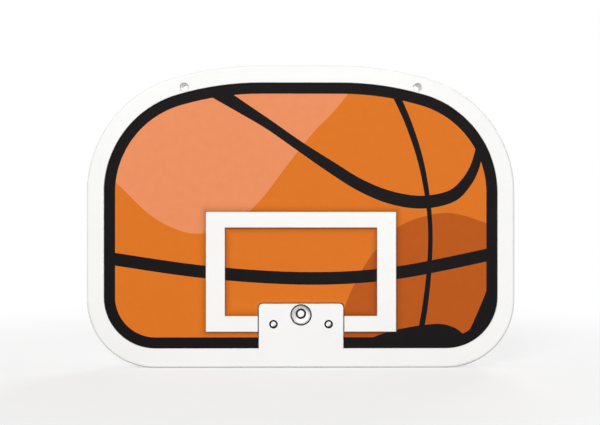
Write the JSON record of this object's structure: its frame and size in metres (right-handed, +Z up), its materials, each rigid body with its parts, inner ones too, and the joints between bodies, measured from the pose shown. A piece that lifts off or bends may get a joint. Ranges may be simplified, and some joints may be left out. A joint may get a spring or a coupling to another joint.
{
  "type": "basketball backboard",
  "caption": "White moulded basketball backboard with rounded corners, a printed face, a raised target square and a rim pad, hung on a wall by screw holes near its top edge.",
  "frame": {"origin": "midway between the hanging holes, on the plane of the back", "axes": "+X to the right seen from the front, +Y from the front to the wall, +Z up"},
  "size_m": [0.45, 0.0265, 0.318],
  "materials": {
    "white_moulding": "white ABS with a fine moulded grain",
    "printed_film": "printed vinyl film, satin",
    "hardboard": "pressed hardboard",
    "plated_steel": "zinc plated",
    "black_steel": "black oxide",
    "black_rubber": "moulded rubber"
  },
  "bodies": {
    "root": {"front_frame": "white_moulding", "face_panel": "hardboard", "face_label": "printed_film", "target_frame": "white_moulding", "frame_push_nuts": "plated_steel", "rear_cover": "white_moulding", "cover_screws": "plated_steel", "mount_plate": "plated_steel", "mount_plate_screws": "plated_steel", "rim_bush_left": "black_steel", "rim_bush_right": "black_steel", "socket_ring": "black_rubber", "centre_bush": "black_steel", "wall_pad_low_left": "black_rubber", "wall_pad_low_right": "black_rubber", "wall_pad_top_left": "black_rubber", "wall_pad_top_right": "black_rubber"}
  },
  "joints": []
}
